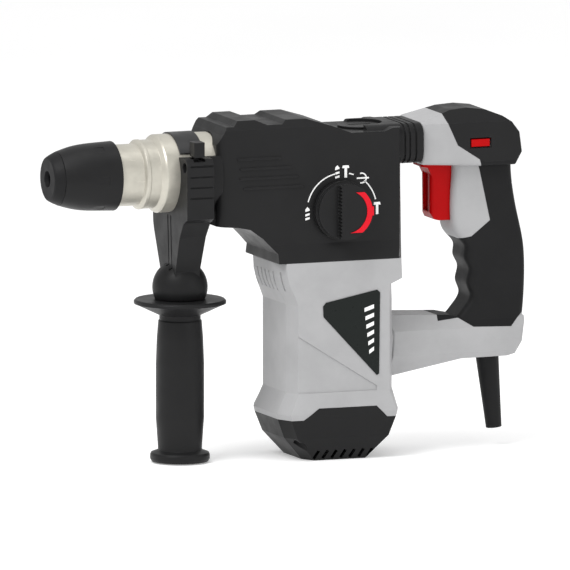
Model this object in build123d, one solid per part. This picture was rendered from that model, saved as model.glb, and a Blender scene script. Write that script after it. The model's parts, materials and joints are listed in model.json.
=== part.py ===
"""Rotary hammer with an upright motor, a D handle and a side handle.

Millimetres. The tool axis is X at Y = 0, Z = 0, and the bit points towards -X.
X = 0 is the mouth of the bit socket, +Z is up, and the left side of the tool is -Y.
"""
from build123d import *
from math import atan2, cos, pi, radians, sin
import os

# Chuck and tool axis
BIT_R = 5.05
SOCKET_DEPTH = 15.5
CHUCK_NOSE_X = -8.0
CHUCK_REAR_X = 43.5
CHUCK_R = 26.3
HOLDER_R = 10.8
SPINDLE_R = 16.0
CYLINDER_R = 13.0
SPINDLE_REAR_X = 185.0
RUN = 0.05
SLEEVE_TRAVEL = 7.0
BALL_R = 3.5
BALL_X = 28.0
BALL_OFFSET = 7.25
BALL_LIFT = 1.4

# Front barrel
BARREL_FRONT_R = 23.4
BARREL_R = 29.6
BARREL_REAR_X = 126.0

# Gear train: one module for the spur gears, apex of the bevel pair on the tool axis
MOTOR_X = 217.0
PINION_TEETH = 7
GEAR_TEETH = 37
MODULE = 0.95
CENTRES = MODULE * (PINION_TEETH + GEAR_TEETH) / 2
CRANK_X = MOTOR_X + CENTRES
LAYSHAFT_X = MOTOR_X - CENTRES
BEVEL_PINION_TEETH = 9
BEVEL_GEAR_TEETH = 27
BEVEL_R = 20.0
CRANK_THROW = 10.0
ROD_LENGTH = 74.0
PISTON_PIN_X = CRANK_X + CRANK_THROW - ROD_LENGTH

# Gearbox
GEARBOX_FRONT_X = 117.6
GEARBOX_REAR_X = 265.5
GEARBOX_HALF = 31.5
GEARBOX_BOTTOM_Z = -68.9
COLLAR_X = 110.3
COLLAR_R = 33.6
SHOULDER_REAR_X = 269.4
REAR_FLAT_HALF = 20.0
BOOM_END_X = 284.5
BOOM_HALF = 28.0
WALL = 2.6
CASE_HALF = 27.5
CAP_X = 243.0
CASE_WALL = 2.4

# Mode knob
KNOB_X = 217.0
KNOB_Z = -30.5
KNOB_R = 22.7
KNOB_FACE_Y = -45.0
ECCENTRIC = 4.0
DIAL_R = 28.0

# Motor
BARREL_FRONT_X = 174.8
BARREL_BACK_X = 260.0
BARREL_HALF_Y = 36.0
END_FLAT_HALF = 24.3
BASE_Z = -220.0
COVER_TOP_Z = -188.0
STACK_TOP_Z = -100.0
STACK_BOTTOM_Z = -150.0
STATOR_R = 32.0
GROOVE_DEPTH = 1.3
GROOVE_PITCH = 8.0
ARMATURE_R = 18.6

# Rear handle
GRIP_HALF = 17.0
GRIP_EDGE = 6.0
HUMP_SEAM_Z = -0.9
HANDLE_SCREWS = ((297, 14), (349, -133), (288, -138), (306, -138))
HUMP_HALF = 24.5
STRUT_HALF = 20.0
SKIN = 2.2
SHELL = 2.6

# Side handle
SIDE_X = 98.8
SADDLE_R = BARREL_R + 0.1
STRAP_R = 30.8
STRAP_HALF = 9.5
BALL_Z = -87.0
FLANGE_Z = -95.6
FLANGE_R = 34.8
BOLT_R = 4.0
ROD_HOLE_R = 4.1
ROD_HOLE_Y = -38.0
ROD_HOLE_Z = 8.5


# ---------------------------------------------------------------- plain shapes

def block(x0, x1, y0, y1, z0, z1):
    """A box between two corners."""
    centre = ((x0 + x1) / 2, (y0 + y1) / 2, (z0 + z1) / 2)
    return Pos(*centre) * Box(abs(x1 - x0), abs(y1 - y0), abs(z1 - z0))


def side_plate(outline, y0, y1):
    """An outline of (x, z) points, thick from y0 to y1."""
    face = Face(Wire.make_polygon([Vector(x, y0, z) for x, z in outline]))
    return Solid.extrude(face, Vector(0, y1 - y0, 0))


def front_plate(outline, x0, x1):
    """An outline of (y, z) points, thick from x0 to x1."""
    face = Face(Wire.make_polygon([Vector(x0, y, z) for y, z in outline]))
    return Solid.extrude(face, Vector(x1 - x0, 0, 0))


def top_plate(outline, z0, z1):
    """An outline of (x, y) points, thick from z0 to z1."""
    face = Face(Wire.make_polygon([Vector(x, y, z0) for x, y in outline]))
    return Solid.extrude(face, Vector(0, 0, z1 - z0))


def rod_x(x0, x1, r, y=0.0, z=0.0):
    """A round bar along X."""
    return Pos((x0 + x1) / 2, y, z) * Rot(0, 90, 0) * Cylinder(r, abs(x1 - x0))


def rod_y(y0, y1, r, x, z):
    """A round bar along Y."""
    return Pos(x, (y0 + y1) / 2, z) * Rot(90, 0, 0) * Cylinder(r, abs(y1 - y0))


def rod_z(z0, z1, r, x, y=0.0):
    """A round bar along Z."""
    return Pos(x, y, (z0 + z1) / 2) * Cylinder(r, abs(z1 - z0))


def ring_x(x0, x1, r_in, r_out):
    """A tube on the tool axis."""
    return rod_x(x0, x1, r_out) - rod_x(x0, x1, r_in)


def ring_z(z0, z1, r_in, r_out, x, y=0.0):
    """A tube on an upright axis."""
    return rod_z(z0, z1, r_out, x, y) - rod_z(z0, z1, r_in, x, y)


def turned_x(outline):
    """A turned piece on the tool axis, from (x, radius) points."""
    face = Face(Wire.make_polygon([Vector(x, 0, r) for x, r in outline]))
    return revolve(face, Axis.X)


def turned_z(outline, x, y=0.0):
    """A turned piece on an upright axis at x, y, from (radius, z) points."""
    face = Face(Wire.make_polygon([Vector(x + r, y, z) for r, z in outline]))
    return revolve(face, Axis((x, y, 0), (0, 0, 1)))


def sector_x(x0, x1, r_in, r_out, start, end, steps=24):
    """Part of a tube on the tool axis; angles in degrees from +Z towards -Y."""
    angles = [radians(start + (end - start) * i / steps) for i in range(steps + 1)]
    outer = [(-sin(a) * (r_out + 5), cos(a) * (r_out + 5)) for a in angles]
    wedge = front_plate([(0, 0)] + outer, x0, x1)
    return ring_x(x0, x1, r_in, r_out) & wedge


def coil(radius, wire, turns, height, place):
    """A helical spring standing on the XY plane of place."""
    path = Helix(pitch=height / turns, height=height, radius=radius)
    section = Plane(origin=path @ 0, z_dir=path % 0) * Circle(wire / 2)
    return place * sweep(section, path=path)


def socket_screw(z0, z1, x, y, r=2.0, head_r=3.8, head=3.5):
    """An upright socket screw whose head is at the low end, z0."""
    screw = rod_z(z0, z1, r, x, y) + rod_z(z0, z0 + head, head_r, x, y)
    return screw - rod_z(z0, z0 + 2.0, 1.7, x, y)


# ---------------------------------------------------------------- gears

def spur_outline(teeth, addendum, dedendum, share, phase):
    """Straight-sided teeth as (x, y) points; share is the tooth's part of the pitch."""
    pitch_r = MODULE * teeth / 2
    step = 2 * pi / teeth
    half = share * step / 2
    points = []
    for i in range(teeth):
        a = phase + i * step
        for r, spread in ((pitch_r - dedendum, 1.35), (pitch_r + addendum, 0.55)):
            points.append((r, a - half * spread))
        for r, spread in ((pitch_r + addendum, 0.55), (pitch_r - dedendum, 1.35)):
            points.append((r, a + half * spread))
    return [(r * cos(a), r * sin(a)) for r, a in points]


def spur_gear(teeth, z0, z1, x, phase, addendum=0.85, dedendum=1.2, share=0.42):
    """An upright spur gear with its axis at x."""
    outline = spur_outline(teeth, addendum, dedendum, share, phase)
    return top_plate([(x + px, py) for px, py in outline], z0, z1)


def bevel_teeth(teeth, pitch_r, apex_distance, phase, add=0.75, ded=1.3, share=0.36, inner=0.76):
    """Straight bevel teeth round +Z with their apex at the origin."""
    cone = atan2(pitch_r, apex_distance)
    width = 2 * pi * pitch_r / teeth * share
    outward = (cos(cone), -sin(cone))
    result = []
    for i in range(teeth):
        a = phase + 2 * pi * i / teeth
        wires = []
        for scale in (1.0, inner):
            corners = []
            for depth, half in ((-ded, 0.68), (add, 0.30), (add, -0.30), (-ded, -0.68)):
                r = (pitch_r + outward[0] * depth) * scale
                h = (apex_distance + outward[1] * depth) * scale
                t = half * width * scale
                corners.append(Vector(r * cos(a) - t * sin(a), r * sin(a) + t * cos(a), h))
            wires.append(Wire.make_polygon(corners))
        result.append(Solid.make_loft(wires, True))
    return result


# ---------------------------------------------------------------- chuck

def dust_cap():
    """Rubber nose cap that closes the front of the chuck."""
    outline = [(CHUCK_NOSE_X, 6.4), (CHUCK_NOSE_X, 15.2), (-7.4, 16.6), (-6.2, 17.4)]
    outline += [(-3.4, 18.9), (-0.6, 20.1), (-0.6, 11.6), (5.6, 11.6), (5.6, HOLDER_R + 0.02)]
    outline += [(-0.6, HOLDER_R + 0.02), (-0.6, 5.9), (-5.0, 5.6), (-6.4, 6.0)]
    return turned_x(outline)


def chuck_sleeve():
    """Plastic sleeve pulled back to free the bit."""
    skin = Edge.make_spline(
        [Vector(x, 0, r) for x, r in ((-0.3, 20.3), (6, 22.3), (14, 24.2), (26, 25.5),
                                      (CHUCK_REAR_X, CHUCK_R))]
    )
    corners = [(CHUCK_REAR_X, CHUCK_R), (CHUCK_REAR_X, 23.9), (29.0, 23.9), (26.0, 21.0)]
    corners += [(26.0, 15.05), (12.0, 15.05), (12.0, 12.2), (-0.3, 12.2), (-0.3, 20.3)]
    rest = Wire.make_polygon([Vector(x, 0, r) for x, r in corners], close=False)
    sleeve = revolve(Face(Wire([skin] + rest.edges())), Axis.X)
    for i in range(6):
        groove = Pos(0, 0, 27.6) * Rot(0, 90, 0) * Pos(0, 0, 20) * Box(4.6, 6.0, 26)
        sleeve -= Rot(30 + 60 * i, 0, 0) * groove
    return sleeve


def lock_ring():
    """Steel ring with a ramp: it keeps the balls in until the sleeve is pulled back."""
    bore = HOLDER_R + RUN
    slope = BALL_LIFT / SLEEVE_TRAVEL
    ramp_x = 14.0
    ramp_r = bore + slope * (BALL_X + 0.5 - ramp_x)
    outline = [(12.1, bore), (ramp_x, bore), (ramp_x, ramp_r), (BALL_X + 0.5, bore), (34.0, bore)]
    return turned_x(outline + [(34.0, 15.0), (12.1, 15.0)])


def chuck_spring():
    """Spring that returns the sleeve."""
    place = Pos(34.9, 0, 0) * Rot(0, 90, 0)
    return coil(12.8, 1.2, 3.5, 10.0, place)


def locking_ball(side):
    """Ball that drops into the groove of the bit."""
    return Pos(BALL_X, side * BALL_OFFSET, 0) * Sphere(BALL_R - 0.02)


def tool_holder():
    """Steel holder with the bit socket, its drive keys and the ball windows."""
    holder = rod_x(0, 46, HOLDER_R) + rod_x(46, 98, SPINDLE_R) + rod_x(98, 104, CYLINDER_R - 0.02)
    holder -= rod_x(-1, SOCKET_DEPTH, BIT_R) + rod_x(SOCKET_DEPTH, 48, BIT_R + 0.6)
    holder -= rod_x(47, 69, 6.1) + rod_x(69, 105, 9.05)
    for side in (-1, 1):
        holder -= rod_y(side * 3, side * 12, BALL_R + 0.03, BALL_X, 0)
        key = block(SOCKET_DEPTH + 2.5, 44, -1.2, 1.2, side * 3.6, side * (BIT_R + 1.0))
        holder += key
    return holder


def spindle():
    """Hammer tube: the piston and the striker run inside it."""
    tube = ring_x(98, SPINDLE_REAR_X, CYLINDER_R, SPINDLE_R)
    for turn in range(4):
        vent = rod_z(11, 18, 1.2, 146)
        tube -= Rot(45 + 90 * turn, 0, 0) * vent
    return tube


def spindle_bearings():
    """Two needle bearings that carry the spindle."""
    front = ring_x(80, 92, SPINDLE_R + RUN, 21)
    rear = ring_x(129, 141, SPINDLE_R + RUN, 21)
    return [front, rear]


def front_seal():
    """Lip seal between the barrel and the tool holder."""
    return turned_x([(48, 16.1), (48, 20.9), (54, 20.9), (54, 17.2), (50.5, 17.2), (50.5, 16.1)])


def mode_sleeve():
    """Grooved ring that couples the bevel gear to the spindle."""
    ring = ring_x(150, 161, SPINDLE_R + RUN, 20.4)
    return ring - ring_x(153, 158, 18.4, 21)


def clutch_spring():
    """Spring that loads the safety clutch."""
    return coil(18.2, 1.8, 3, 9.4, Pos(162.8, 0, 0) * Rot(0, 90, 0))


def bevel_gear():
    """Bevel gear that turns the spindle."""
    apex_x = BEVEL_R * BEVEL_PINION_TEETH / BEVEL_GEAR_TEETH
    teeth = bevel_teeth(BEVEL_GEAR_TEETH, BEVEL_R, apex_x, 0.0)
    place = Pos(LAYSHAFT_X, 0, 0) * Rot(0, -90, 0)
    rim = place * turned_z([(15.9, 6.4), (21.4, 8.7), (21.4, 12.0), (15.9, 12.0)], 0)
    rim = rim - rod_x(100, 200, 16.0)
    gear = rim + [place * tooth for tooth in teeth]
    return gear - rod_x(100, 200, 16.0) + ring_x(174.5, 186.0, 16.0, 19.0)


def impact_bolt():
    """Bolt that passes the striker's blow to the bit."""
    bolt = rod_x(52, 74, 6.0) + rod_x(74, 84, 8.98) + rod_x(84, 108, 6.0)
    return bolt


def striker():
    """Free hammer driven by the air cushion."""
    body = rod_x(110, 132, CYLINDER_R - 0.04)
    return body - ring_x(120, 123, 11.4, 14)


def piston():
    """Piston with a slot for the connecting rod."""
    front = PISTON_PIN_X - 12
    body = rod_x(front, front + 22, CYLINDER_R - 0.04)
    body -= block(PISTON_PIN_X - 7.6, front + 23, -10.0, 10.0, -4.7, 4.7)
    body -= rod_z(-14, 14, 3.0, PISTON_PIN_X)
    return body


def piston_pin():
    """Pin between the piston and the connecting rod."""
    return rod_z(-11.8, 11.8, 2.98, PISTON_PIN_X)


def connecting_rod():
    """Rod from the crank pin to the piston."""
    big_x = PISTON_PIN_X + ROD_LENGTH
    rod = rod_z(-4.2, 4.2, 6.6, PISTON_PIN_X) + rod_z(-4.2, 4.2, 8.2, big_x)
    rod += block(PISTON_PIN_X, big_x, -4.2, 4.2, -3.2, 3.2)
    return rod - rod_z(-6, 6, 3.03, PISTON_PIN_X) - rod_z(-6, 6, 4.6, big_x)


# ---------------------------------------------------------------- gear train

def crank_gear():
    """Crankshaft in one piece with its gear."""
    gear = spur_gear(GEAR_TEETH, -23, -14, CRANK_X, pi)
    gear += rod_z(-14, -10, 15.0, CRANK_X)
    gear += rod_z(-35, -23, 6.0, CRANK_X)
    return gear + rod_z(-10, -4.7, 4.5, CRANK_X + CRANK_THROW)


def layshaft():
    """Intermediate shaft: a spur gear below and the bevel pinion above."""
    shaft = spur_gear(GEAR_TEETH, -45, -36, LAYSHAFT_X, pi / GEAR_TEETH)
    shaft += rod_z(-53.5, -14.9, 4.6, LAYSHAFT_X)
    apex_z = BEVEL_R
    pitch_r = BEVEL_R * BEVEL_PINION_TEETH / BEVEL_GEAR_TEETH
    teeth = bevel_teeth(BEVEL_PINION_TEETH, pitch_r, apex_z, pi)
    place = Pos(LAYSHAFT_X, 0, 0) * Rot(180, 0, 0)
    core = place * turned_z([(0, 14.9), (4.0, 14.9), (5.4, 20.3), (5.4, 23.5), (0, 23.5)], 0)
    return (shaft + core) + [place * tooth for tooth in teeth]


def shaft_bearings():
    """Ball bearings of the crankshaft and the intermediate shaft."""
    return [ring_z(-34, -26, 6.0 + RUN, 10.5, CRANK_X), ring_z(-34, -26, 4.6 + RUN, 9.0, LAYSHAFT_X)]


def bearing_bridge():
    """Shelf of the gear case that holds both shaft bearings."""
    bridge = block(180, CRANK_X + 14, -18.5, CASE_HALF - CASE_WALL, -34, -26)
    bridge -= rod_z(-35, -25, 10.5, CRANK_X) + rod_z(-35, -25, 9.0, LAYSHAFT_X)
    return bridge - rod_z(-35, -25, 6.5, MOTOR_X)


def case_outline(inset=0.0):
    """Side outline of the cast gear case as (x, z) points."""
    i = inset
    upper = [(126 + i, 28 - i), (204, 28 - i), (222, 22.4 - i), (260.5 - i, 21.5 - i), (260.5 - i, -62 + i)]
    lower = [(172 + 0.4 * i, -62 + i), (151 + 0.6 * i, -44.5 + i), (141, -36 + i), (126 + i, -34 + i)]
    return upper + lower


def case_plan(inset=0.0):
    """Plan outline of the gear case, its rear corners cut off, as (x, y) points."""
    rear = [(251 - inset, 60), (251 - inset, CASE_HALF + 1 - inset), (261.5 - inset, 13 - inset)]
    return [(100, 60)] + rear + [(x, -y) for x, y in reversed(rear)] + [(100, -60)]


def gear_case():
    """Cast case that carries the barrel, the spindle and the shafts."""
    case = side_plate(case_outline(), -CASE_HALF, CASE_HALF) & top_plate(case_plan(), -80, 50)
    inner = CASE_HALF - CASE_WALL
    hollow = side_plate(case_outline(CASE_WALL), -inner, inner)
    case -= hollow & top_plate(case_plan(CASE_WALL), -80, 50)
    case += bearing_bridge()
    boss = ring_x(127, 141, 20.9, 24.3)
    case += boss
    case -= rod_x(125, 141.1, 21.0)
    case += rod_z(-60, -53, 8.0, LAYSHAFT_X)
    case -= rod_z(-53.7, -50, 4.6 + RUN, LAYSHAFT_X)
    case += rod_z(-66, -59, 15.5, MOTOR_X)
    case -= rod_z(-67, -50, 13.0, MOTOR_X)
    case -= rod_y(-30, -20, 10.1, KNOB_X, KNOB_Z)
    return case


# ---------------------------------------------------------------- gearbox shell

def shell_outline():
    """Side outline of the gearbox shell as (x, z) points, from the front top."""
    top = [(GEARBOX_FRONT_X, 23), (125, 36.4), (131, 36.4), (135, 40.4), (149, 40.4), (158, 36.6)]
    top += [(170, 36.6), (173.5, 39.6), (190, 39.6), (210, 33.4), (225, 27.6), (252, 27.4), (258.5, 29.8)]
    rear = [(GEARBOX_REAR_X, 29.8), (GEARBOX_REAR_X, -10), (SHOULDER_REAR_X, GEARBOX_BOTTOM_Z)]
    front = [(165.3, GEARBOX_BOTTOM_Z), (165.3, -61.5), (154, -49.8), (143.5, -42.2), (134, -40.2)]
    return top + rear + front + [(GEARBOX_FRONT_X, -38.8)]


def shell_section(inset=0.0):
    """Front outline of the gearbox shell as (y, z) points."""
    i = inset
    half = [(25.0 - i, 42), (GEARBOX_HALF - i, 34.0 - i), (GEARBOX_HALF - i, -55), (35.5 - i, -68),
            (35.5 - i, -80)]
    return [(-y, z) for y, z in reversed(half)] + half


def shell_plan(inset=0.0):
    """Plan outline of the gearbox shell, its rear corners cut off, as (x, y) points."""
    rear = [(SHOULDER_REAR_X - 8 - inset, 60), (SHOULDER_REAR_X - 8 - inset, 36 - inset)]
    rear += [(SHOULDER_REAR_X - inset + 1.5, REAR_FLAT_HALF - 3 - inset)]
    return [(100, 60)] + rear + [(x, -y) for x, y in reversed(rear)] + [(100, -60)]


def boom(inset, x0, x1):
    """Rear arm of the gearbox shell that carries the handle."""
    half = BOOM_HALF - inset
    low = 0.5 + inset
    high = 31.1 - inset
    bar = block(x0, x1, -half, half, low, high)
    edges = bar.edges().filter_by(Axis.X)
    return fillet(edges, 10.0 - inset)


def gearbox_housing():
    """Black shell over the gear case, with its rear arm."""
    outer = side_plate(shell_outline(), -40, 40) & front_plate(shell_section(), 110, 290)
    outer = outer & top_plate(shell_plan(), -80, 50)
    corners = outer.edges().filter_by(Axis.Z)
    front = [e for e in corners if e.center().X < GEARBOX_FRONT_X + 0.1]
    outer = fillet(front, 5.6)
    outer += boom(0, 240, BOOM_END_X)
    inner_side = [(120.4, -36), (120.4, 27), (122, 30.6), (208, 30.2), (224, 25), (262.6, 24.6),
                  (262.6, -10)]
    inner_side += [(266.6, -75), (168.2, -75), (168.2, -60), (152.6, -46.4), (141.5, -38.6)]
    inner = side_plate(inner_side, -40, 40) & front_plate(shell_section(WALL), 110, 290)
    inner = inner & top_plate(shell_plan(WALL), -80, 50)
    shell = outer - inner
    shell -= boom(WALL, 255, BOOM_END_X - WALL)
    collar = ring_x(COLLAR_X, 121, BARREL_R, COLLAR_R) & block(COLLAR_X, 121, -40, 40, -40, 15)
    shell += collar
    shell -= rod_x(110, 122, BARREL_R + 0.02)
    shell -= rod_y(-40, -28, 12.2, KNOB_X, KNOB_Z)
    shell -= rod_z(20, 40, 13.6, CAP_X) + rod_z(27.7, 45, 17.2, CAP_X)
    for i, (x, length) in enumerate(((133, 35), (135, 42), (135, 47), (138, 48))):
        z = 11.6 - 7.4 * i
        rib = block(x, x + length, -GEARBOX_HALF - 0.9, -GEARBOX_HALF + 0.5, z - 0.8, z + 0.8)
        shell += rib + mirror(rib, Plane.XZ)
    for x in (268.6, 272.6, 277.6):
        bellows = block(x, x + 1.6, -40, 40, -5, 45) - boom(1.3, x, x + 1.6)
        shell -= bellows
    return shell


def grease_cap():
    """Screw-in lid over the crank, with a coin slot."""
    cap = rod_z(24.6, 28.4, 13.3, CAP_X) + rod_z(27.7, 29.2, 16.5, CAP_X)
    cap = cap - rod_z(22, 26.6, 10.5, CAP_X)
    return cap - block(CAP_X - 9, CAP_X + 9, -1.5, 1.5, 27.9, 30)


def shift_fork():
    """Flat fork that moves the mode sleeve."""
    fork = sector_x(153.3, 157.7, 18.8, 24.0, 70, 140)
    fork = fork & block(150, 160, -24.3, 0, -30, 30)
    bar = block(153.3, 215, -24.2, -21.6, -30, -14) + block(153.3, 157.7, -24.2, -19.6, -22, -6)
    head = block(211, 230, -24.2, -21.6, -39, -18)
    fork = fork + bar + head
    slot = block(KNOB_X + ECCENTRIC - 3.9, KNOB_X + ECCENTRIC + 3.9, -26, -20, KNOB_Z - 3.2, KNOB_Z + 7.4)
    return fork - slot


def mode_knob():
    """Turning knob with its hub and eccentric pin."""
    knob = rod_y(-37.0, -32.1, KNOB_R, KNOB_X, KNOB_Z)
    knob += rod_y(-39.6, -36.9, KNOB_R - 1.4, KNOB_X, KNOB_Z)
    crown = rod_y(KNOB_FACE_Y, -39.5, KNOB_R - 1.8, KNOB_X, KNOB_Z)
    crown = crown & block(KNOB_X - 5.6, KNOB_X + 30, -50, -30, KNOB_Z - 30, KNOB_Z + 30)
    for i in range(15):
        z = KNOB_Z + 2.6 * (i - 7)
        crown -= block(KNOB_X - 6.5, KNOB_X - 4.7, -50, -39.5, z - 0.65, z + 0.65)
    knob += crown
    knob += rod_y(-32.2, -25.4, 10.0, KNOB_X, KNOB_Z)
    knob += rod_y(-25.5, -21.0, 2.5, KNOB_X + ECCENTRIC, KNOB_Z)
    return knob - knob_pointer()


def knob_pointer():
    """Coloured arc let into the knob, with a tab that shows the mode."""
    arc = rod_y(-45.6, -43.6, 19.6, KNOB_X, KNOB_Z) - rod_y(-46, -43, 16.2, KNOB_X - 0.8, KNOB_Z)
    arc = arc & block(KNOB_X, KNOB_X + 30, -50, -30, KNOB_Z - 16.0, KNOB_Z + 14.6)
    tab = block(KNOB_X + 18.4, KNOB_X + 20.6, -45.6, -43.6, KNOB_Z - 3.4, KNOB_Z + 3.4)
    return arc + tab


def dial_arc(start, end):
    """White arc of the dial between two angles in degrees from +X towards +Z."""
    y0 = -GEARBOX_HALF - 0.25
    ring = rod_y(y0, -GEARBOX_HALF, DIAL_R + 0.45, KNOB_X, KNOB_Z)
    ring -= rod_y(y0 - 1, 0, DIAL_R - 0.45, KNOB_X, KNOB_Z)
    count = 12
    angles = [radians(start + (end - start) * i / count) for i in range(count + 1)]
    rim = [(KNOB_X + 40 * cos(a), KNOB_Z + 40 * sin(a)) for a in angles]
    return ring & side_plate([(KNOB_X, KNOB_Z)] + rim, y0 - 1, 0)


def drill_icon(x, z):
    """Small sign for drilling: a twist bit."""
    y0 = -GEARBOX_HALF - 0.25
    y1 = -GEARBOX_HALF
    parts = [side_plate([(x - 1.7, z + 1.4), (x + 1.7, z + 2.2), (x + 1.7, z + 3.2), (x, z + 5),
                         (x - 1.7, z + 3.2)], y0, y1)]
    for low in (-1.6, -4.6):
        top = low + 2.0
        parts.append(side_plate([(x - 1.7, z + low - 0.5), (x + 1.7, z + low + 0.4), (x + 1.7, z + top),
                                 (x - 1.7, z + top - 0.9)], y0, y1))
    return parts


def hammer_icon(x, z):
    """Small sign for hammering: a mallet."""
    y0 = -GEARBOX_HALF - 0.25
    y1 = -GEARBOX_HALF
    head = side_plate([(x - 2.8, z + 2.6), (x + 2.8, z + 2.6), (x + 2.4, z + 4.6),
                       (x - 2.4, z + 4.6)], y0, y1)
    shaft = block(x - 1.0, x + 1.0, y0, y1, z - 4.6, z + 2.7)
    return [head + shaft]


def turn_icon(x, z):
    """Small sign for setting the chisel angle: an open ring on a bar."""
    y0 = -GEARBOX_HALF - 0.25
    y1 = -GEARBOX_HALF
    ring = rod_y(y0, y1, 4.2, x - 0.6, z) - rod_y(y0 - 1, y1 + 1, 3.2, x - 0.6, z)
    ring = ring & block(x - 1.8, x + 6, y0, y1, z - 6, z + 6)
    bar = block(x - 4.6, x + 5.2, y0, y1, z - 0.6, z + 0.6)
    return [ring + bar]


def dial_marks():
    """White dial on the left side: arcs and signs for the four modes."""
    marks = [dial_arc(100, 165), dial_arc(70, 78), dial_arc(14, 50)]
    marks += drill_icon(KNOB_X - 27.6, KNOB_Z - 1.5)
    marks += drill_icon(KNOB_X - 3.6, KNOB_Z + 29.0)
    marks += hammer_icon(KNOB_X + 3.2, KNOB_Z + 29.0)
    marks += turn_icon(KNOB_X + 16.6, KNOB_Z + 23.4)
    marks += hammer_icon(KNOB_X + 28.4, KNOB_Z)
    return marks


# ---------------------------------------------------------------- front barrel

def front_barrel():
    """Machined barrel that holds the front bearing and takes the side handle."""
    outline = [(44.0, BARREL_FRONT_R - 0.4), (44.4, BARREL_FRONT_R), (61.8, BARREL_FRONT_R), (63.0, 25.6)]
    outline += [(63.8, 26.4), (65.8, 26.4), (66.4, 26.0), (74.6, 26.0), (77.2, 28.9), (78.4, BARREL_R)]
    outline += [(120.2, BARREL_R), (120.2, 28.4), (BARREL_REAR_X, 28.4), (BARREL_REAR_X, 21.0),
                (80.0, 21.0), (80.0, 17.0)]
    outline += [(54.2, 17.0), (54.2, 21.0), (44.0, 21.0)]
    return turned_x(outline)


# ---------------------------------------------------------------- motor

def motor_section(z, x0, x1, half_y, flat=END_FLAT_HALF):
    """Plan outline of the motor housing at one height."""
    half = [(x0, flat), (x0 + 6, half_y), (x1 - 6, half_y), (x1, flat)]
    points = half + [(x, -y) for x, y in reversed(half)]
    return Wire.make_polygon([Vector(x, y, z) for x, y in points])


def motor_envelope(inset=0.0):
    """Outer form of the motor housing and its cover, stacked from plan outlines."""
    i = inset
    levels = [
        (GEARBOX_BOTTOM_Z, 165.3, SHOULDER_REAR_X, 35.5, REAR_FLAT_HALF),
        (-78.0, 165.8, SHOULDER_REAR_X + 0.4, 35.6, REAR_FLAT_HALF),
        (-84.0, 167.2, SHOULDER_REAR_X + 0.6, 35.7, REAR_FLAT_HALF),
        (-88.0, 168.8, 260.8, 35.8, 21.0),
        (-101.0, BARREL_FRONT_X, BARREL_BACK_X, BARREL_HALF_Y, END_FLAT_HALF),
        (-168.0, BARREL_FRONT_X, BARREL_BACK_X, BARREL_HALF_Y, END_FLAT_HALF),
        (-184.0, 167.3, 265.0, 39.0, END_FLAT_HALF),
        (COVER_TOP_Z, 168.2, 264.0, 38.6, END_FLAT_HALF),
        (-202.5, 173.8, 258.8, 36.5, 23.0),
        (BASE_Z, 189.5, 242.6, 29.5, 19.0),
    ]
    stack = None
    for low, high in zip(levels[1:], levels[:-1]):
        wires = [
            motor_section(z, x0 + i, x1 - i, half_y - i, flat - 0.4 * i)
            for z, x0, x1, half_y, flat in (high, low)
        ]
        span = Solid.make_loft(wires, True)
        stack = span if stack is None else stack + span
    return stack


def cover_region():
    """Everything below the joint between the motor housing and its cover."""
    z = COVER_TOP_Z
    step = -179.5
    line = [(150, z), (183.8, z), (196.2, step), (242.6, step), (251.0, z), (290, z)]
    return side_plate(line + [(290, -230), (150, -230)], -60, 60)


def motor_housing():
    """Grey housing round the motor, with the flare at its foot."""
    outer = motor_envelope()
    shell = outer - motor_envelope(WALL) - cover_region()
    skin = outer - motor_envelope(GROOVE_DEPTH)
    for i in range(8):
        y = GROOVE_PITCH * (i - 3.5)
        shell -= skin & block(160, 185, y - 0.8, y + 0.8, -90.5, -76)
    facet = [(165, -114.9), (243.5, -164.6), (243.5, -168), (165, -168)]
    for side in (-1, 1):
        y0, y1 = sorted((side * (BARREL_HALF_Y - 0.8), side * 40))
        shell -= side_plate(facet, y0, y1)
    shell += strut_seat()
    return shell


def strut_seat():
    """Raised lip on the motor housing where the handle strut meets it."""
    outline = [(-STRUT_HALF - 0.8, -130), (-15, -114.2), (15, -114.2), (STRUT_HALF + 0.8, -130),
               (16, -161.6), (-16, -161.6)]
    return front_plate(outline, 257.5, 262.5)


def motor_cover():
    """Black cap on the foot of the motor, with air slots."""
    cover = motor_envelope() & cover_region()
    cavity = motor_envelope(WALL) & block(100, 300, -60, 60, BASE_Z + 3, -150)
    cover -= cavity
    for side in (-1, 1):
        for i in range(7):
            slot = Pos(196.5 + 7.2 * i, side * 31, -215.5) * Rot(0, 28, 0) * Box(2.6, 16, 7)
            cover -= slot
    for x in (196, 234):
        for y in (-20, 20):
            cover += rod_z(BASE_Z + 1, -192, 6.4, x, y)
            cover -= rod_z(BASE_Z - 1, -191, 2.1, x, y) + rod_z(BASE_Z - 1, -214, 4.2, x, y)
    pockets = [Pos(181, side * 31, -205) * Rot(side * 35, -35, 0) for side in (-1, 1)]
    for place in pockets:
        cover += place * Cylinder(5.4, 16) & motor_envelope()
    for place in pockets:
        cover -= place * Pos(0, 0, -6) * Cylinder(3.4, 16)
    return cover


def cover_screws():
    """Four screws that hold the cover."""
    return [socket_screw(BASE_Z + 2.4, -193, x, y) for x in (196, 234) for y in (-20, 20)]


def label_plate():
    """Blank triangular plate on the left side of the motor."""
    corners = [(200.2, -102.5), (202.5, -99.8), (243.6, -91.8), (246.0, -93.8), (245.2, -155.4),
               (243.4, -156.6)]
    corners += [(200.6, -110.6)]
    return side_plate(corners, -BARREL_HALF_Y - 0.6, -BARREL_HALF_Y)


def armature_shaft():
    """Motor shaft with its pinion."""
    shaft = rod_z(-190, -46, 6.0, MOTOR_X) + rod_z(-46.5, -12, 2.4, MOTOR_X)
    phase = pi / PINION_TEETH
    return shaft + spur_gear(PINION_TEETH, -46.2, -12, MOTOR_X, phase)


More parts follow.
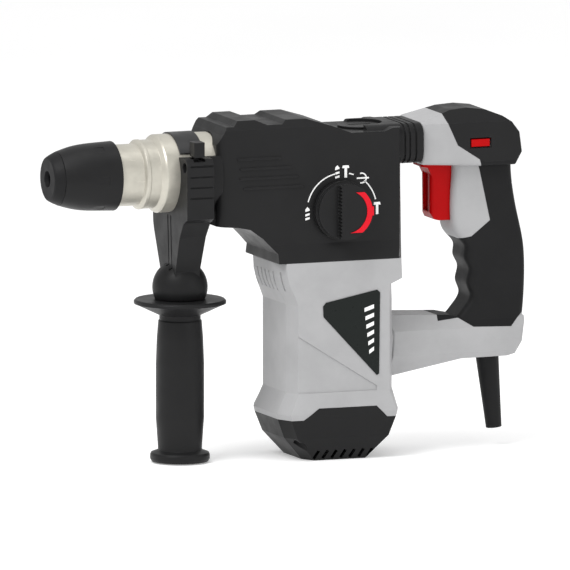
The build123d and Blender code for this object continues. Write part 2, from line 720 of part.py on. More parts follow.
def armature_core():
    """Laminated armature with winding slots."""
    core = ring_z(STACK_BOTTOM_Z, STACK_TOP_Z, 6.0, ARMATURE_R, MOTOR_X)
    for i in range(12):
        slot = Pos(MOTOR_X, 0, -125) * Rot(0, 0, 30 * i) * Pos(14.6, 0, 0) * Box(7.4, 3.2, 60)
        core -= slot
    return core


def armature_windings():
    """Copper windings: bars in the slots and both end turns."""
    coils = ring_z(STACK_TOP_Z, -90, 6.1, 17.0, MOTOR_X) + ring_z(-160, STACK_BOTTOM_Z, 6.1, 17.0, MOTOR_X)
    for i in range(12):
        bar = Pos(MOTOR_X, 0, -125) * Rot(0, 0, 30 * i) * Pos(14.1, 0, 0) * Box(6.0, 3.1, 50.0)
        coils += bar
    return coils


def commutator():
    """Segmented copper ring under the brushes."""
    ring = ring_z(-177, -163, 6.0, 10.5, MOTOR_X)
    for i in range(24):
        ring -= Pos(MOTOR_X, 0, -170) * Rot(0, 0, 15 * i) * Pos(10.3, 0, 0) * Box(1.2, 0.5, 16)
    return ring


def fan():
    """Cooling fan above the armature."""
    wheel = rod_z(-86, -84, 29.0, MOTOR_X) + rod_z(-84, -74, 9.0, MOTOR_X)
    for i in range(14):
        blade = Pos(MOTOR_X, 0, -79.5) * Rot(0, 0, 360 / 14 * i) * Pos(18.6, 0, 0) * Rot(0, 0,
                                                                                         24) * Box(19,
                                                                                                   1.4, 9.6)
        wheel += blade
    return wheel - rod_z(-90, -70, 6.0, MOTOR_X)


def coil_sector(z0, z1, grow):
    """Two arched coil bodies facing each other across the armature."""
    parts = []
    for side in (0, 180):
        ring = ring_z(z0, z1, 21.0 - grow, 27.5 + grow, 0)
        reach = [(38 * cos(radians(a)), 38 * sin(radians(a))) for a in range(-42, 43, 12)]
        wedge = top_plate([(0, 0)] + reach, z0, z1)
        parts.append(Pos(MOTOR_X, 0, 0) * Rot(0, 0, side) * (ring & wedge))
    return parts


def stator_core():
    """Laminated field stack."""
    core = ring_z(STACK_BOTTOM_Z, STACK_TOP_Z, ARMATURE_R + 0.7, STATOR_R, MOTOR_X)
    for part in coil_sector(STACK_BOTTOM_Z - 1, STACK_TOP_Z + 1, 0.0):
        core -= part
    return core


def field_coils():
    """Field windings in the stator."""
    return coil_sector(-157, -93, 0.0)


def motor_bearings():
    """Ball bearings at both ends of the motor shaft."""
    return [ring_z(z - 8, z, 6.0 + RUN, 13.0, MOTOR_X) for z in (-58, -181)]


def bearing_bracket():
    """Bracket across the housing that holds the lower bearing."""
    bracket = ring_z(-191, -179.5, 13.0, 16.0, MOTOR_X)
    bracket += ring_z(-191, -189, 8.0, 15.0, MOTOR_X)
    for side in (-1, 1):
        y0, y1 = sorted((side * 15, side * 32.5))
        bracket += block(MOTOR_X - 6, MOTOR_X + 6, y0, y1, -188, -182)
        x0, x1 = sorted((MOTOR_X + side * 15, MOTOR_X + side * 39))
        bracket += block(x0, x1, -6, 6, -188, -182)
    return bracket


def carbon_brushes():
    """Two carbon brushes on the commutator."""
    brushes = []
    for side in (-1, 1):
        y0, y1 = sorted((side * 10.6, side * 24))
        brushes.append(block(MOTOR_X - 3, MOTOR_X + 3, y0, y1, -174, -166))
    return brushes


def brush_holders():
    """Brass tubes that guide the brushes."""
    holders = []
    for side in (-1, 1):
        y0, y1 = sorted((side * 12.5, side * 31))
        tube = block(MOTOR_X - 4.6, MOTOR_X + 4.6, y0, y1, -175.6, -164.4)
        holders.append(tube - block(MOTOR_X - 3, MOTOR_X + 3, side * 0.5, side * 29, -174, -166))
    return holders


# ---------------------------------------------------------------- rear handle

def grip_bumps():
    """Front line of the grip with its finger hollows, from top to bottom."""
    points = [(313.4, 4), (312.6, -20), (312.2, -44), (314.0, -54), (318.4, -60), (323.2, -66.5),
              (322.8, -74.5), (326.4, -83), (324.8, -94)]
    return points + [(327.6, -103), (322.8, -112), (316.8, -119), (310, -126)]


def rounded_plate(outline, half, inset, corner, edge):
    """A symmetric plate from an outline of (x, z) points, shrunk by inset, with soft edges."""
    face = Face(Wire.make_polygon([Vector(x, 0, z) for x, z in outline]))
    face = face.fillet_2d(corner, face.vertices())
    if inset:
        face = offset(face, -inset).faces()[0]
    depth = half - inset
    plate = Solid.extrude(face, Vector(0, depth, 0)) + Solid.extrude(face, Vector(0, -depth, 0))
    rim = [e for e in plate.edges() if abs(abs(e.center().Y) - depth) < 0.01]
    return fillet(rim, edge) if edge else plate


def handle_head(inset=0.0):
    """Upper body of the rear handle: the neck behind the boom and the hump."""
    outline = [(BOOM_END_X, -1.0), (BOOM_END_X, 31.0), (296, 34.4), (310, 38.6), (324, 39.6), (338, 37.8)]
    outline += [(350, 33.2), (357.6, 28.4), (363.6, 20.4), (365.6, 5.4), (360.2, -4.2), (334, -4.2)]
    plate = rounded_plate(outline, HUMP_HALF, inset, 1.6, 2.4)
    i = 0.8 * inset
    half = [(12.0 - i, 42 - i), (HUMP_HALF + 1 - i, 28.5 - i), (HUMP_HALF + 1, -10)]
    section = [(-y, z) for y, z in half] + [(y, z) for y, z in reversed(half)]
    return plate & front_plate(section, 270, 400)


def handle_grip(inset=0.0):
    """Middle body of the rear handle: the grip."""
    back = [(360.6, 4), (361.6, -20), (366.0, -44), (370.2, -64), (371.4, -84), (370.8, -104),
            (368.8, -126)]
    front = Spline(*[Vector(x + inset, 0, z) for x, z in grip_bumps()])
    rear = Spline(*[Vector(x - inset, 0, z) for x, z in back])
    top = Line(front @ 0, rear @ 0)
    bottom = Line(front @ 1, rear @ 1)
    face = Face(Wire([front, bottom, rear, top]))
    depth = GRIP_HALF - inset
    grip = Solid.extrude(face, Vector(0, 2 * depth, 0)).moved(Location((0, -depth, 0)))
    long = [e for e in grip.edges() if e.length > 60]
    return fillet(long, GRIP_EDGE - inset)


def handle_foot(inset=0.0):
    """Lower body of the rear handle: the strut to the motor and the foot of the grip."""
    outline = [(262.5, -161.2), (262.5, -114.8), (308.6, -117.0), (318, -119), (369.6, -119.5),
               (367.2, -139)]
    outline += [(361.4, -148.2), (355.5, -149.8), (318.3, -150.2)]
    plate = rounded_plate(outline, STRUT_HALF, inset, 1.2, 2.2)
    i = 0.8 * inset
    half = [(12.0 - i, -112), (STRUT_HALF + 0.5 - i, -128), (STRUT_HALF - 0.6 - i, -146), (12.0 - i, -166)]
    section = [(-y, z) for y, z in half] + [(y, z) for y, z in reversed(half)]
    return plate & front_plate(section, 250, 400)


def handle_blank(inset=0.0):
    """Full body of the rear handle."""
    return handle_head(inset) + handle_grip(inset) + handle_foot(inset)


def cap_region():
    """Side region of the black top cover."""
    line = [(300.0, 45), (304.8, 31), (313.3, 12.6), (331.0, 1.1), (336, HUMP_SEAM_Z), (400, HUMP_SEAM_Z)]
    return side_plate(line + [(400, 45)], -60, 60)


def rubber_region():
    """Side region of the rubber grip."""
    line = [(336, HUMP_SEAM_Z), (331.0, 1.1), (333.6, -8), (342.0, -46.4), (327.0, -58.0),
            (316.9, -59.8), (300, -60.5), (300, -121)]
    line += [(316.5, -119.4), (327.8, -126.4), (357.8, -127.4), (366.6, -118.8), (380, -110),
             (400, HUMP_SEAM_Z)]
    return side_plate(line, -60, 60)


def handle_shell():
    """Grey handle shell, thinned where the rubber and the top cover lie on it."""
    blank = handle_blank()
    core = handle_blank(SKIN)
    covered = cap_region() + rubber_region()
    shell = (blank - covered) + (core & covered)
    cavity = handle_blank(SKIN + SHELL) & block(316, 380, -40, 40, -146, 40)
    shell -= cavity
    shell -= block(290, 322.6, -10.4, 10.4, -46.0, -2.6)
    shell -= block(323.2, 340.2, -40, 0, 9.8, 17.6)
    shell -= boot_bore()
    for x, z in HANDLE_SCREWS:
        shell -= rod_y(-13, 60, 1.6, x, z)
        shell -= rod_y(9, 60, 3.6, x, z)
    return shell


def handle_half(side):
    """One half of the handle shell; side is -1 for the left."""
    y0, y1 = sorted((0, side * 60))
    return handle_shell() & block(250, 400, y0, y1, -200, 60)


def handle_screws():
    """Screws that join the handle halves."""
    screws = []
    for x, z in HANDLE_SCREWS:
        screw = rod_y(-12.5, 12, 1.55, x, z) + rod_y(9.1, 12.0, 3.4, x, z)
        screws.append(screw - rod_y(10.6, 13, 1.5, x, z))
    return screws


def handle_cap():
    """Black cover over the top of the handle."""
    cap = (handle_blank() - handle_blank(SKIN)) & cap_region()
    return cap - block(323.2, 340.2, -40, 0, 9.8, 17.6)


def grip_rubber():
    """Rubber grip with finger hollows and a ribbed back."""
    rubber = (handle_blank() - handle_blank(SKIN)) & rubber_region()
    for i in range(11):
        z = -8.5 - 3.6 * i
        x = 360.6 + (0 if i < 3 else 0.78 * (i - 3))
        rubber -= Pos(x + 1.6, 0, z) * Rot(0, -10, 0) * Box(3.4, 60, 1.2)
    return rubber


def trigger():
    """Trigger with a finger hollow and a lip at its top."""
    outline = [(289.5, -2.9), (289.5, -4.4), (294.5, -5.4), (296.6, -9.5), (296.9, -40), (299.5, -44.6),
               (303, -45.6)]
    outline += [(316, -45.6), (316, -2.9)]
    lever = side_plate(outline, -10, 10)
    edges = [e for e in lever.edges().filter_by(Axis.Z, tolerance=3) if e.center().X < 298]
    lever = fillet(edges, 3.0) if edges else lever
    lever -= Pos(296.4, 0, -24.5) * Box(5.0, 11, 29)
    return lever


def trigger_spring():
    """Return spring of the trigger."""
    return coil(3.6, 0.9, 3.5, 5.6, Pos(316.6, 0, -20) * Rot(0, 90, 0))


def switch_body():
    """Electric switch behind the trigger."""
    return block(323.4, 344, -10, 10, -50, -8)


def lock_button():
    """Push button that holds the trigger in."""
    button = block(324.4, 339.0, -HUMP_HALF + 0.4, -12.5, 10.9, 16.5)
    return button + block(323.6, 339.8, -17.5, -15.5, 10.1, 17.3)


def boot_axis():
    """Point and unit direction of the cord boot."""
    start = Vector(346.1, 0, -151.3)
    end = Vector(351.5, 0, -205.9)
    return start, (end - start).normalized(), (end - start).length


def along_boot(outline):
    """A turned piece on the boot's axis, from (radius, distance) points."""
    start, direction, length = boot_axis()
    place = Plane(origin=start, x_dir=(direction.Z, 0, -direction.X), z_dir=direction)
    face = Face(Wire.make_polygon([Vector(r, 0, d) for r, d in outline]))
    return place * revolve(face, Axis.Z)


def boot_bore():
    """Hole in the handle for the boot."""
    return along_boot([(0, -14), (8.7, -14), (8.7, 12), (0, 12)])


def cord_boot():
    """Rubber boot round the cord's way out."""
    start, direction, length = boot_axis()
    outline = [(4.5, -12), (10.6, -12), (10.6, -9), (8.6, -9), (8.6, 2), (5.9, length), (4.5, length)]
    return along_boot(outline)


# ---------------------------------------------------------------- side handle

def handle_clamp():
    """Clamp block and stem of the side handle."""
    outline = [(-43.8, 10.5), (-40.0, 15.0), (-22.0, 15.0), (-22.0, 0), (26.0, -9.0), (28.5, -12),
               (28.5, -40)]
    outline += [(27.0, -46), (16.0, -74), (16.0, -86), (-16.0, -86), (-16.0, -74), (-27.0, -46),
                (-36, -34), (-43.8, -30.5)]
    clamp = front_plate(outline, SIDE_X - 10.8, SIDE_X + 10.8)
    taper = [(SIDE_X - 10.8, 20), (SIDE_X + 10.8, 20), (SIDE_X + 10.8, -36), (SIDE_X + 9.4, -90)]
    taper += [(SIDE_X - 9.4, -90), (SIDE_X - 10.8, -36)]
    clamp = clamp & side_plate(taper, -60, 60)
    clamp += Pos(SIDE_X, 0, BALL_Z) * Sphere(20.9)
    clamp = clamp & block(0, 200, -60, 60, FLANGE_Z - 0.2, 40)
    clamp -= rod_x(60, 130, SADDLE_R)
    for i in range(4):
        z = 11 - 8.0 * i
        clamp -= block(SIDE_X - 8.4, SIDE_X + 20, -46, -42.6, z - 2.0, z - 0.6)
    for y in (-9.0, -3.0):
        clamp -= block(SIDE_X - 12, SIDE_X - 9.6, y - 0.9, y + 0.9, -80, -31)
    clamp -= clamp_strap()
    clamp -= rod_z(-110, -20, BOLT_R + 0.1, SIDE_X)
    clamp -= rod_z(-42, -20, 7.7, SIDE_X)
    clamp -= rod_x(60, 130, ROD_HOLE_R, ROD_HOLE_Y, ROD_HOLE_Z)
    clamp -= block(SIDE_X - 2.2, SIDE_X + 2.2, ROD_HOLE_Y + 4.8, ROD_HOLE_Y + 8.0, -6, 16)
    clamp -= block(SIDE_X - 4.6, SIDE_X + 4.6, ROD_HOLE_Y - 4.4, ROD_HOLE_Y + 8.2, 12.9, 16)
    return clamp


def clamp_strap():
    """Steel strap over the barrel."""
    return sector_x(SIDE_X - STRAP_HALF, SIDE_X + STRAP_HALF, SADDLE_R, STRAP_R, 55, -118)


def clamp_bolt():
    """Hexagon bolt that draws the strap tight."""
    head = extrude(Plane.XY.offset(-40.5) * Pos(SIDE_X, 0) * RegularPolygon(7.3, 6), 5.5)
    return head + rod_z(-150, -40, BOLT_R, SIDE_X)


def thrust_washer():
    """Steel washer between the ball and the grip."""
    return ring_z(FLANGE_Z - 1.9, FLANGE_Z - 0.5, BOLT_R + 0.1, 12.0, SIDE_X)


def side_grip():
    """Grip of the side handle, with its hand guard and end knob."""
    top = FLANGE_Z - 0.6
    outline = [(12.4, top), (33.6, top), (FLANGE_R, top - 1.2), (FLANGE_R, top - 3.0),
               (31.5, top - 4.4), (15.6, top - 12)]
    outline += [(15.6, -111.5), (16.4, -112.5), (17.4, -125), (18.2, -145), (18.2, -186), (16.6, -208)]
    outline += [(16.6, -210.5), (21.8, -212.4), (22.5, -214), (22.5, -217), (21.4, -219), (0, -219),
                (0, -160)]
    outline += [(BOLT_R + 0.1, -160), (BOLT_R + 0.1, top - 1.5), (12.4, top - 1.5)]
    return turned_z(outline, SIDE_X)


def depth_button():
    """Push button that frees the depth rod."""
    button = block(SIDE_X - 4.2, SIDE_X + 4.2, ROD_HOLE_Y - 4.0, ROD_HOLE_Y + 7.8, 16.4, 27.6)
    edges = button.edges().filter_by(Axis.Z)
    button = fillet(edges, 1.2)
    return button + block(SIDE_X - 2.0, SIDE_X + 2.0, ROD_HOLE_Y + 5.0, ROD_HOLE_Y + 7.8, -1, 17)


PARTS = {
    "dust_cap": dust_cap,
    "chuck_sleeve": chuck_sleeve,
    "lock_ring": lock_ring,
    "chuck_spring": chuck_spring,
    "locking_ball_left": lambda: locking_ball(-1),
    "locking_ball_right": lambda: locking_ball(1),
    "tool_holder": tool_holder,
    "front_seal": front_seal,
    "front_barrel": front_barrel,
    "spindle": spindle,
    "spindle_bearings": spindle_bearings,
    "mode_sleeve": mode_sleeve,
    "clutch_spring": clutch_spring,
    "bevel_gear": bevel_gear,
    "impact_bolt": impact_bolt,
    "striker": striker,
    "piston": piston,
    "piston_pin": piston_pin,
    "connecting_rod": connecting_rod,
    "crank_gear": crank_gear,
    "layshaft": layshaft,
    "shaft_bearings": shaft_bearings,
    "gear_case": gear_case,
    "gearbox_housing": gearbox_housing,
    "grease_cap": grease_cap,
    "shift_fork": shift_fork,
    "mode_knob": mode_knob,
    "knob_pointer": knob_pointer,
    "dial_marks": dial_marks,
    "motor_housing": motor_housing,
    "motor_cover": motor_cover,
    "cover_screws": cover_screws,
    "label_plate": label_plate,
    "armature_shaft": armature_shaft,
    "armature_core": armature_core,
    "armature_windings": armature_windings,
    "commutator": commutator,
    "fan": fan,
    "stator_core": stator_core,
    "field_coils": field_coils,
    "motor_bearings": motor_bearings,
    "bearing_bracket": bearing_bracket,
    "carbon_brushes": carbon_brushes,
    "brush_holders": brush_holders,
    "handle_shell_left": lambda: handle_half(-1),
    "handle_shell_right": lambda: handle_half(1),
    "handle_cap": handle_cap,
    "grip_rubber": grip_rubber,
    "handle_screws": handle_screws,
    "trigger": trigger,
    "trigger_spring": trigger_spring,
    "switch_body": switch_body,
    "lock_button": lock_button,
    "cord_boot": cord_boot,
    "handle_clamp": handle_clamp,
    "clamp_strap": clamp_strap,
    "clamp_bolt": clamp_bolt,
    "thrust_washer": thrust_washer,
    "side_grip": side_grip,
    "depth_button": depth_button,
}


def main():
    """Write one STEP file per sub-part."""
    os.makedirs("parts", exist_ok=True)
    for name, make in PARTS.items():
        shape = make()
        if isinstance(shape, list):
            shape = Compound(children=[s for part in shape for s in part.solids()])
        export_step(shape, f"parts/{name}.step")


main()
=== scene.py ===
"""Looks of the rotary hammer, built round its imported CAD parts."""
import json
from math import cos, pi, radians, sin

import bpy
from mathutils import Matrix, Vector


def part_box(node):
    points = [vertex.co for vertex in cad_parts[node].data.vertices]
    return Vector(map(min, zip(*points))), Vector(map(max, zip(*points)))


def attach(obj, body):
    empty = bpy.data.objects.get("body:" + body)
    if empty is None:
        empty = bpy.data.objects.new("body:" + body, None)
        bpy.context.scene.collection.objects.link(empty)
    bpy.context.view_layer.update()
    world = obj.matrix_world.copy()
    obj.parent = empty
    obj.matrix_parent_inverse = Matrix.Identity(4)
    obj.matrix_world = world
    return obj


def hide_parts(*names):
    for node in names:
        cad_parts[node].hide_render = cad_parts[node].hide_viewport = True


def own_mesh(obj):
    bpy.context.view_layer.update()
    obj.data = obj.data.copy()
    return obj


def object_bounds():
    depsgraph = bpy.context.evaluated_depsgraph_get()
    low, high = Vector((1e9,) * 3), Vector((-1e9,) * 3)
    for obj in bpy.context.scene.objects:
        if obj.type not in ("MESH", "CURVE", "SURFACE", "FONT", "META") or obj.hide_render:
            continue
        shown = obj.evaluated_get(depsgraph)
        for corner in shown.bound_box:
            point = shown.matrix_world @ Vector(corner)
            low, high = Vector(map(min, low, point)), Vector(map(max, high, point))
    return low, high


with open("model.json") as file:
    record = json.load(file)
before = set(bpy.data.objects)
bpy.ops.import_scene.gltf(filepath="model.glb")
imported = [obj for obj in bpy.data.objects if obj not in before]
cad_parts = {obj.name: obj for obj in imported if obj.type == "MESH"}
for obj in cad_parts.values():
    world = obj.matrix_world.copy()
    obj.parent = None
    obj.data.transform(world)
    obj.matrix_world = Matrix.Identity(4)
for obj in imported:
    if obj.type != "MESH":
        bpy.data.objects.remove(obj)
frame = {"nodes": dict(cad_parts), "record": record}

bpy.context.view_layer.update()
CAD_BOX = [list(corner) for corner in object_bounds()]
NODES = frame["nodes"]
MM = 0.001


# ---------------------------------------------------------------- camera, floor and light

CAMERA_AZIMUTH = radians(-21)
CAMERA_ELEVATION = radians(8)
CAMERA_TARGET = Vector((0.1834, 0.0, -0.0900))
CAMERA_WIDTH = 0.4286
CAMERA_DISTANCE = 1.6
CAMERA_REACH = 20
WORLD_STRENGTH = 0.74
# name, azimuth and elevation in degrees, distance and size in metres, power in watts
LIGHTS = (
    ("key", -62, 50, 1.6, 0.8, 15.0),
    ("top", -20, 84, 1.5, 1.0, 4.5),
    ("fill", 30, 15, 2.0, 1.4, 4.0),
)
FLOOR_X = 0.18
FLOOR_Z = CAD_BOX[0][2]
FLOOR_RADIUS = 9.0
FLOOR_RINGS = 6
FLOOR_SIDES = 64
FLOOR_GLOW = 0.25


def towards(azimuth, elevation):
    """Unit vector from the object to a point seen at that azimuth and elevation, in radians."""
    return Vector((sin(azimuth) * cos(elevation), -cos(azimuth) * cos(elevation), sin(elevation)))


def make_camera():
    """Orthographic camera that sees the tool from its left and a little from the front."""
    data = bpy.data.cameras.new("camera")
    data.type = "ORTHO"
    data.ortho_scale = CAMERA_WIDTH
    data.clip_end = CAMERA_REACH
    camera = bpy.data.objects.new("camera", data)
    bpy.context.scene.collection.objects.link(camera)
    back = towards(CAMERA_AZIMUTH, CAMERA_ELEVATION)
    camera.location = CAMERA_TARGET + CAMERA_DISTANCE * back
    camera.rotation_mode = "QUATERNION"
    camera.rotation_quaternion = back.to_track_quat("Z", "Y")
    bpy.context.scene.camera = camera


def area_light(name, azimuth, elevation, distance, size, power):
    data = bpy.data.lights.new(name, "AREA")
    data.shape = "DISK"
    data.size = size
    data.energy = power
    light = bpy.data.objects.new(name, data)
    bpy.context.scene.collection.objects.link(light)
    back = towards(radians(azimuth), radians(elevation))
    light.location = CAMERA_TARGET + distance * back
    light.rotation_mode = "QUATERNION"
    light.rotation_quaternion = back.to_track_quat("Z", "Y")


def make_studio():
    """White surroundings and the area lights."""
    scene = bpy.context.scene
    scene.view_settings.view_transform = "Standard"
    scene.view_settings.look = "None"
    world = bpy.data.worlds.new("studio")
    scene.world = world
    world.use_nodes = True
    sky = world.node_tree.nodes["Background"]
    sky.inputs["Color"].default_value = (1.0, 1.0, 1.0, 1)
    sky.inputs["Strength"].default_value = WORLD_STRENGTH
    for light in LIGHTS:
        area_light(*light)


def make_floor():
    """Pale round floor under the lowest point of the tool."""
    verts = [(FLOOR_X, 0.0, FLOOR_Z)]
    for ring in range(1, FLOOR_RINGS + 1):
        radius = FLOOR_RADIUS * (ring / FLOOR_RINGS) ** 2
        for i in range(FLOOR_SIDES):
            angle = 2 * pi * i / FLOOR_SIDES
            verts.append((FLOOR_X + radius * cos(angle), radius * sin(angle), FLOOR_Z))
    after = [(i + 1) % FLOOR_SIDES for i in range(FLOOR_SIDES)]
    faces = [(0, 1 + i, 1 + after[i]) for i in range(FLOOR_SIDES)]
    for ring in range(1, FLOOR_RINGS):
        a = 1 + (ring - 1) * FLOOR_SIDES
        b = a + FLOOR_SIDES
        faces += [(a + i, b + i, b + after[i], a + after[i]) for i in range(FLOOR_SIDES)]
    mesh = bpy.data.meshes.new("floor")
    mesh.from_pydata(verts, [], faces)
    floor = bpy.data.objects.new("floor", mesh)
    bpy.context.scene.collection.objects.link(floor)
    mesh.materials.append(floor_material())


# ---------------------------------------------------------------- materials

class Graph:
    """A Principled material whose textures lie in the row frame."""

    def __init__(self, name, colour, rough, metallic=0.0, specular=0.5):
        self.material = bpy.data.materials.new(name)
        self.material.use_nodes = True
        self.tree = self.material.node_tree
        self.shader = self.tree.nodes["Principled BSDF"]
        self.place = self.tree.nodes.new("ShaderNodeTexCoord").outputs["Object"]
        self.shader.inputs["Base Color"].default_value = (*colour, 1)
        self.shader.inputs["Roughness"].default_value = rough
        self.shader.inputs["Metallic"].default_value = metallic
        self.shader.inputs["Specular IOR Level"].default_value = specular
        self.normal = None

    def node(self, kind, **settings):
        made = self.tree.nodes.new("ShaderNode" + kind)
        for key, value in settings.items():
            setattr(made, key, value)
        return made

    def link(self, out, into):
        self.tree.links.new(out, into)

    def scaled(self, stretch):
        """Row-frame coordinates with another scale along each axis."""
        mapping = self.node("Mapping")
        mapping.inputs["Scale"].default_value = stretch
        self.link(self.place, mapping.inputs["Vector"])
        return mapping.outputs["Vector"]

    def noise(self, scale, detail=3.0, rough=0.55, stretch=None):
        noise = self.node("TexNoise")
        noise.inputs["Scale"].default_value = scale
        noise.inputs["Detail"].default_value = detail
        noise.inputs["Roughness"].default_value = rough
        self.link(self.scaled(stretch) if stretch else self.place, noise.inputs["Vector"])
        return noise.outputs["Fac"]

    def ranged(self, value, low, high, to_low, to_high, smooth=True):
        """value, taken from low..high to to_low..to_high."""
        step = self.node("MapRange")
        step.interpolation_type = "SMOOTHSTEP" if smooth else "LINEAR"
        limits = {"From Min": low, "From Max": high, "To Min": to_low, "To Max": to_high}
        for socket, number in limits.items():
            step.inputs[socket].default_value = number
        self.link(value, step.inputs["Value"])
        return step.outputs["Result"]

    def math(self, operation, a, b):
        step = self.node("Math", operation=operation)
        for socket, value in zip(step.inputs, (a, b)):
            if isinstance(value, (int, float)):
                socket.default_value = value
            else:
                self.link(value, socket)
        return step.outputs[0]

    def mix(self, share, a, b):
        """Colour a, turning to b as share goes from 0 to 1."""
        step = self.node("Mix", data_type="RGBA")
        self.link(share, step.inputs["Factor"])
        for socket, value in ((step.inputs[6], a), (step.inputs[7], b)):
            if isinstance(value, tuple):
                socket.default_value = (*value, 1)
            else:
                self.link(value, socket)
        return step.outputs[2]

    def edges(self, radius):
        """1 on sharp edges and 0 elsewhere."""
        bevel = self.node("Bevel", samples=4)
        bevel.inputs["Radius"].default_value = radius
        geometry = self.node("NewGeometry")
        dot = self.node("VectorMath", operation="DOT_PRODUCT")
        self.link(bevel.outputs["Normal"], dot.inputs[0])
        self.link(geometry.outputs["Normal"], dot.inputs[1])
        return self.ranged(dot.outputs["Value"], 0.995, 0.90, 0.0, 1.0)

    def soft_edges(self, radius):
        """Rounds the sharp edges in shading."""
        bevel = self.node("Bevel", samples=6)
        bevel.inputs["Radius"].default_value = radius
        self.normal = bevel.outputs["Normal"]

    def bump(self, height, strength, distance):
        """Adds relief to the normal made so far."""
        step = self.node("Bump")
        step.inputs["Strength"].default_value = strength
        step.inputs["Distance"].default_value = distance
        self.link(height, step.inputs["Height"])
        if self.normal is not None:
            self.link(self.normal, step.inputs["Normal"])
        self.normal = step.outputs["Normal"]

    def done(self, colour=None, rough=None):
        """Joins up the shader and gives the material."""
        if colour is not None:
            self.link(colour, self.shader.inputs["Base Color"])
        if rough is not None:
            self.link(rough, self.shader.inputs["Roughness"])
        if self.normal is not None:
            self.link(self.normal, self.shader.inputs["Normal"])
        return self.material


def shade(colour, factor):
    return tuple(min(1.0, c * factor) for c in colour)


def moulded(name, colour, rough, grain, edge=0.0009, wear=1.35, grime=0.8,
            relief=0.06 * MM, specular=0.5):
    """Spark-eroded moulded plastic: grain, faint mottling, rubbed edges and handling marks."""
    g = Graph(name, colour, rough, specular=specular)
    g.soft_edges(edge)
    fine = g.noise(grain, 2.0, 0.6)
    g.bump(fine, 0.35, relief)
    waves = g.noise(38, 2.0)
    g.bump(waves, 0.12, 0.25 * MM)
    mottle = g.ranged(g.noise(22, 5.0, 0.62), 0.32, 0.70, 0.0, 1.0)
    base = g.mix(mottle, shade(colour, 1.05), shade(colour, 0.94))
    dust = g.ranged(g.noise(260, 6.0, 0.7), 0.60, 0.78, 0.0, 0.35)
    base = g.mix(dust, base, shade(colour, grime))
    patches = g.ranged(g.noise(90, 4.0), 0.35, 0.65, 0.15, 0.75)
    rubbed = g.math("MULTIPLY", g.edges(edge * 0.8), patches)
    base = g.mix(rubbed, base, shade(colour, wear))
    gloss = g.ranged(g.noise(60, 4.0, 0.6), 0.3, 0.7, rough - 0.05, rough + 0.06)
    gloss = g.math("SUBTRACT", gloss, g.math("MULTIPLY", rubbed, 0.08))
    return g.done(base, gloss)


def metal(name, colour, rough, turned=None, edge=0.0005, cast=0.0, metallic=1.0):
    """Machined or cast metal; turned is the stretch of the tool marks."""
    g = Graph(name, colour, rough, metallic=metallic)
    g.soft_edges(edge)
    if turned:
        marks = g.noise(1.0, 3.0, 0.7, stretch=turned)
        g.bump(marks, 0.18, 0.05 * MM)
    if cast:
        g.bump(g.noise(900, 3.0, 0.7), cast, 0.12 * MM)
    stain = g.ranged(g.noise(45, 5.0, 0.6), 0.35, 0.72, 0.0, 1.0)
    base = g.mix(stain, shade(colour, 1.06), shade(colour, 0.86))
    scuff = g.ranged(g.noise(400, 4.0, 0.7, stretch=(0.2, 1.0, 1.0)), 0.62, 0.72, 0.0, 0.5)
    base = g.mix(scuff, base, shade(colour, 1.3))
    gloss = g.ranged(g.noise(110, 4.0, 0.65), 0.3, 0.7, rough - 0.06, rough + 0.08)
    return g.done(base, gloss)


def floor_material():
    g = Graph("floor_paint", (0.93, 0.93, 0.93), 0.75, specular=0.2)
    g.shader.inputs["Emission Color"].default_value = (1, 1, 1, 1)
    g.shader.inputs["Emission Strength"].default_value = FLOOR_GLOW
    soft = g.ranged(g.noise(3.0, 3.0), 0.3, 0.7, 0.0, 1.0)
    return g.done(g.mix(soft, (0.94, 0.94, 0.94), (0.92, 0.92, 0.92)))


BLACK = (0.0120, 0.0120, 0.0124)
GREY = (0.365, 0.365, 0.37)
RED = (0.42, 0.001, 0.002)
BRIGHT_RED = (0.66, 0.010, 0.022)
WHITE = (0.86, 0.86, 0.85)
LABEL_BLACK = (0.008, 0.0105, 0.0095)
RUBBER = (0.011, 0.011, 0.0115)
SATIN = (0.48, 0.46, 0.40)
# stretch of the tool marks on pieces turned about X and about Z
TURNED_X = (2600.0, 30.0, 30.0)
TURNED_Z = (60.0, 60.0, 2600.0)
MATERIALS = {
    "black_plastic": moulded("black_plastic", BLACK, 0.42, 1500, wear=2.4, grime=1.5,
                             specular=0.14),
    "grey_plastic": moulded("grey_plastic", GREY, 0.5, 1300, wear=1.12, grime=0.86, specular=0.3),
    "red_plastic": moulded("red_plastic", RED, 0.36, 900, edge=0.0007, relief=0.02 * MM,
                           specular=0.08),
    "pointer_red": moulded("pointer_red", BRIGHT_RED, 0.38, 900, edge=0.0004, relief=0.02 * MM,
                           specular=0.1),
    "white_print": moulded("white_print", WHITE, 0.5, 2200, edge=0.0001, wear=1.0, grime=0.9),
    "label_film": moulded("label_film", LABEL_BLACK, 0.3, 700, edge=0.0002, relief=0.01 * MM,
                          specular=0.14),
    "rubber": moulded("rubber", RUBBER, 0.52, 1100, edge=0.0008, wear=2.2, grime=1.6,
                      specular=0.12),
    "collar_metal": metal("collar_metal", SATIN, 0.36, turned=TURNED_X, edge=0.0004,
                          metallic=0.5),
    "cast_aluminium": metal("cast_aluminium", (0.50, 0.50, 0.51), 0.45, cast=0.5),
    "steel": metal("steel", (0.50, 0.50, 0.52), 0.26, turned=TURNED_X),
    "dark_steel": metal("dark_steel", (0.035, 0.035, 0.036), 0.42, cast=0.2, metallic=0.6),
    "brass": metal("brass", (0.65, 0.46, 0.20), 0.3, cast=0.15),
    "copper": metal("copper", (0.62, 0.28, 0.15), 0.34, turned=TURNED_Z),
    "carbon": moulded("carbon", (0.022, 0.022, 0.022), 0.6, 1600),
}


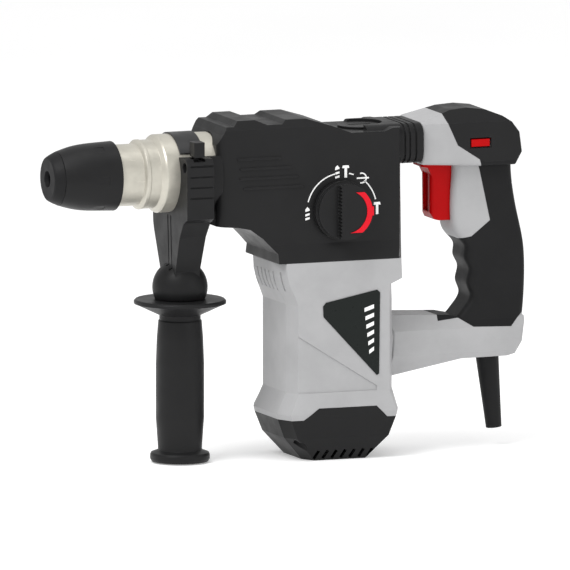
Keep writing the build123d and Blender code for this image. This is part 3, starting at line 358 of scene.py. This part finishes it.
def paint_cad():
    """Gives every CAD node the material of its slot."""
    for part in frame["record"]["subparts"]:
        mesh_object = NODES[part["node"]]
        for slot in mesh_object.material_slots:
            slot.material = MATERIALS[part["material_slot"]]


# ---------------------------------------------------------------- extra pieces

def mesh_piece(name, verts, faces, slot, body):
    """A piece of the object from its mesh; it takes the finish of slot and rides on body."""
    mesh = bpy.data.meshes.new(name)
    mesh.from_pydata(verts, [], faces)
    mesh.update()
    piece = bpy.data.objects.new(name, mesh)
    bpy.context.scene.collection.objects.link(piece)
    mesh.materials.append(MATERIALS[slot])
    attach(piece, body)
    return piece


def add_plate(verts, faces, outline, y_back, y_front):
    """Adds a flat plate with an (x, z) outline to a mesh, between two Y values."""
    base = len(verts)
    count = len(outline)
    verts += [(x, y_back, z) for x, z in outline]
    verts += [(x, y_front, z) for x, z in outline]
    faces.append(tuple(base + i for i in reversed(range(count))))
    faces.append(tuple(base + count + i for i in range(count)))
    for i in range(count):
        j = (i + 1) % count
        faces.append((base + i, base + j, base + count + j, base + count + i))


STRIPES = 6
STRIPE_PITCH = 6.4 * MM
STRIPE_MARGIN = 5.0 * MM
STRIPE_DROP = 13.0 * MM
STRIPE_SUNK = 0.05 * MM
STRIPE_PROUD = 0.12 * MM


def label_stripes():
    """Plain slanted stripes printed on the triangular label."""
    low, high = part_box("label_plate")
    verts = []
    faces = []
    right = high.x - STRIPE_MARGIN
    for i in range(STRIPES):
        top = high.z - STRIPE_DROP - i * STRIPE_PITCH
        width = (7.6 - 0.75 * i) * MM
        outline = [
            (right - width, top - 3.4 * MM),
            (right, top - 0.9 * MM),
            (right, top + 2.1 * MM),
            (right - width, top - 0.4 * MM),
        ]
        add_plate(verts, faces, outline, low.y + STRIPE_SUNK, low.y - STRIPE_PROUD)
    mesh_piece("label_stripes", verts, faces, "white_print", "housing")


STEPS_PER_TURN = 24
WIRE_SIDES = 10


def coil_mesh(low, high, wire, turns):
    """Vertices and faces of a helical spring along X in the box low..high; wire is a radius."""
    steps = STEPS_PER_TURN * turns
    sides = WIRE_SIDES
    centre = (low + high) / 2
    radius = (high.z - low.z) / 2 - wire
    reach = high.x - low.x - 2 * wire
    verts = []
    for i in range(steps + 1):
        angle = 2 * pi * turns * i / steps
        x = low.x + wire + reach * i / steps
        for j in range(sides):
            turn = 2 * pi * j / sides
            r = radius + wire * cos(turn)
            y = centre.y + r * cos(angle)
            z = centre.z + r * sin(angle)
            verts.append((x + wire * sin(turn), y, z))
    faces = [tuple(range(sides)), tuple(steps * sides + j for j in reversed(range(sides)))]
    for i in range(steps):
        for j in range(sides):
            k = (j + 1) % sides
            a = i * sides
            faces.append((a + j, a + sides + j, a + sides + k, a + k))
    return verts, faces


def working_spring(node, body, wire, turns):
    """Replaces a CAD spring by a wire coil in the same box, with the given wire radius and turns.
    """
    low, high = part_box(node)
    verts, faces = coil_mesh(low, high, wire, turns)
    spring = mesh_piece(node + "_wire", verts, faces, "steel", body)
    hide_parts(node)
    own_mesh(spring)


make_camera()
make_studio()
make_floor()
paint_cad()
label_stripes()
working_spring("chuck_spring", "spindle_unit", 0.6 * MM, 4)
working_spring("trigger_spring", "housing", 0.45 * MM, 4)

bpy.context.view_layer.update()
